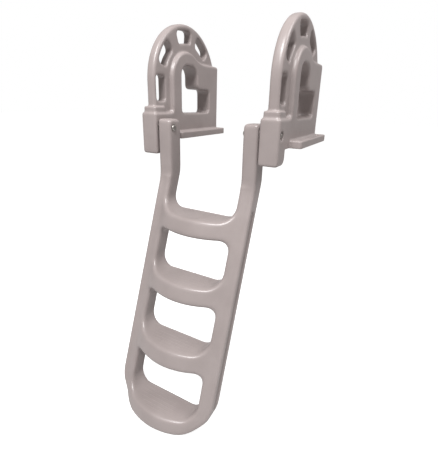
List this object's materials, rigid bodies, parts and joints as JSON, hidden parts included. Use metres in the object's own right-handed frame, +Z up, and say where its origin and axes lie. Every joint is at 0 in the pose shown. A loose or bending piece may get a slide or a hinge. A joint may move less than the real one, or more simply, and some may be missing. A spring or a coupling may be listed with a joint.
{
  "type": "flip-up dock ladder",
  "caption": "Moulded plastic dock ladder with bowed treads that hangs between two hooped handrail brackets and flips up over the deck on two bolts.",
  "frame": {"origin": "middle of the left bracket's foot, on its underside at deck level", "axes": "+X along the dock's edge from the left bracket to the right one, +Y in over the deck, +Z up"},
  "size_m": [0.7766, 0.9875, 1.6997],
  "materials": {
    "moulded_polyethylene": "greige rotomoulded polyethylene, satin",
    "stainless_steel": "plain stainless steel, lightly brushed"
  },
  "bodies": {
    "dock_brackets": {"left_bracket": "moulded_polyethylene", "right_bracket": "moulded_polyethylene", "left_pivot_bolt": "stainless_steel", "left_head_washer": "stainless_steel", "left_spacer": "stainless_steel", "left_nut_washer": "stainless_steel", "left_nut": "stainless_steel", "right_pivot_bolt": "stainless_steel", "right_head_washer": "stainless_steel", "right_spacer": "stainless_steel", "right_nut_washer": "stainless_steel", "right_nut": "stainless_steel"},
    "flip_ladder": {"ladder": "moulded_polyethylene"}
  },
  "joints": [
    {"name": "flip_up", "type": "hinge", "parent": "dock_brackets", "child": "flip_ladder", "pos_m": [0.294, -0.308, 0.056], "axis": [-1, 0, 0], "range_deg": [0, 250]}
  ]
}
